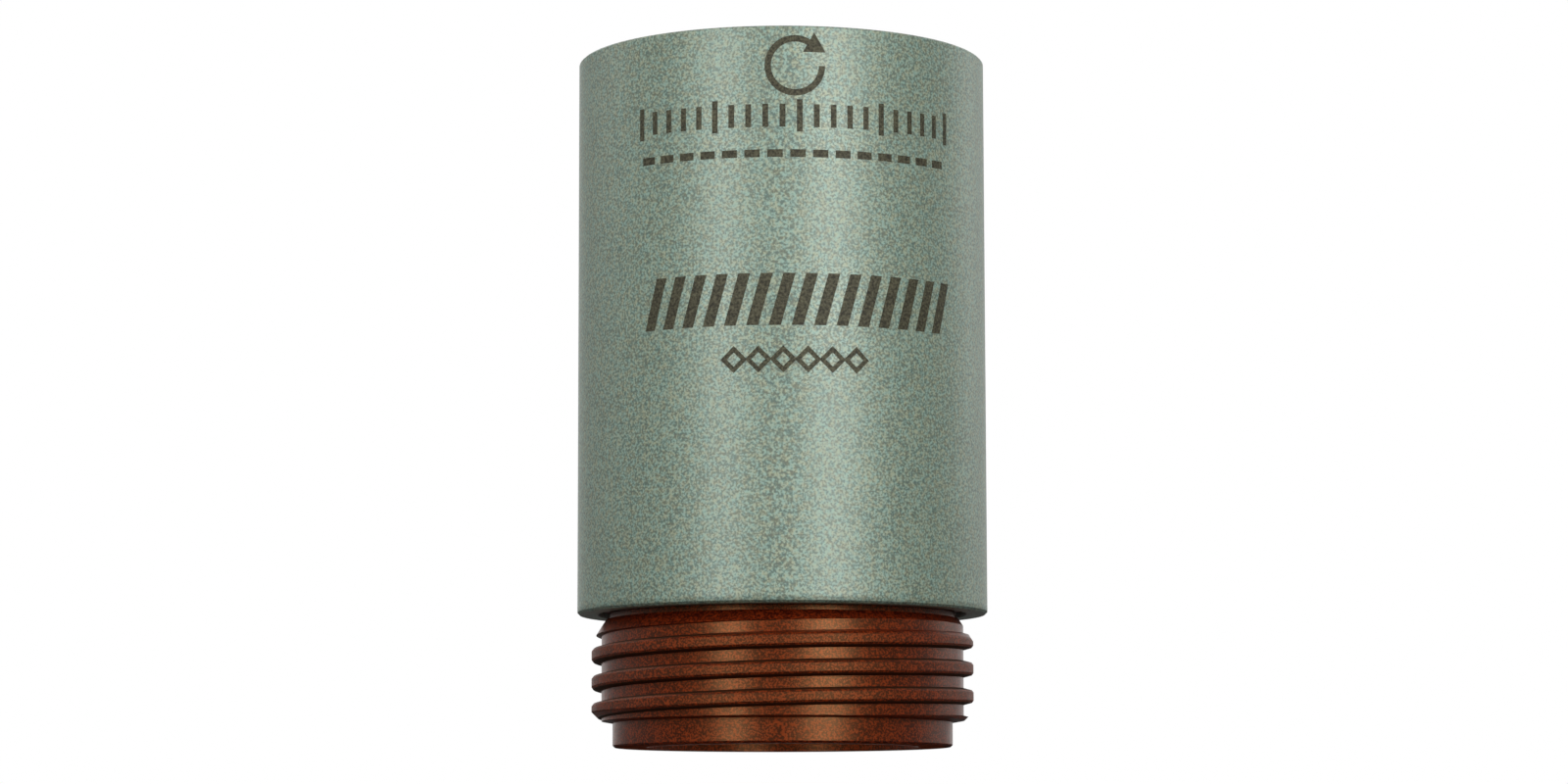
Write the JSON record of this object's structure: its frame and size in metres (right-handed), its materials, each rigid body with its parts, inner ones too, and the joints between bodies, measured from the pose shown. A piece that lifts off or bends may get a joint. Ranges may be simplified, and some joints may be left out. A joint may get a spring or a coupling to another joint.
{
  "type": "plasma torch shield cap",
  "caption": "Hollow cap for a plasma torch: a satin metal sleeve over a brown insulator whose threaded nose carries the shield, with a metal liner that holds the nozzle",
  "frame": {"origin": "centre of the nose face, on the axis", "axes": "+Z along the axis from the nose to the open mouth, the marked side towards -Y"},
  "size_m": [0.0272, 0.0272, 0.0457],
  "materials": {
    "shell_metal": "fine blasted, grey-green anodised",
    "insulator_plastic": "turned, semi-gloss red-brown",
    "liner_brass": "turned"
  },
  "bodies": {
    "root": {"outer_shell": "shell_metal", "insulator_body": "insulator_plastic", "inner_liner": "liner_brass"}
  },
  "joints": []
}
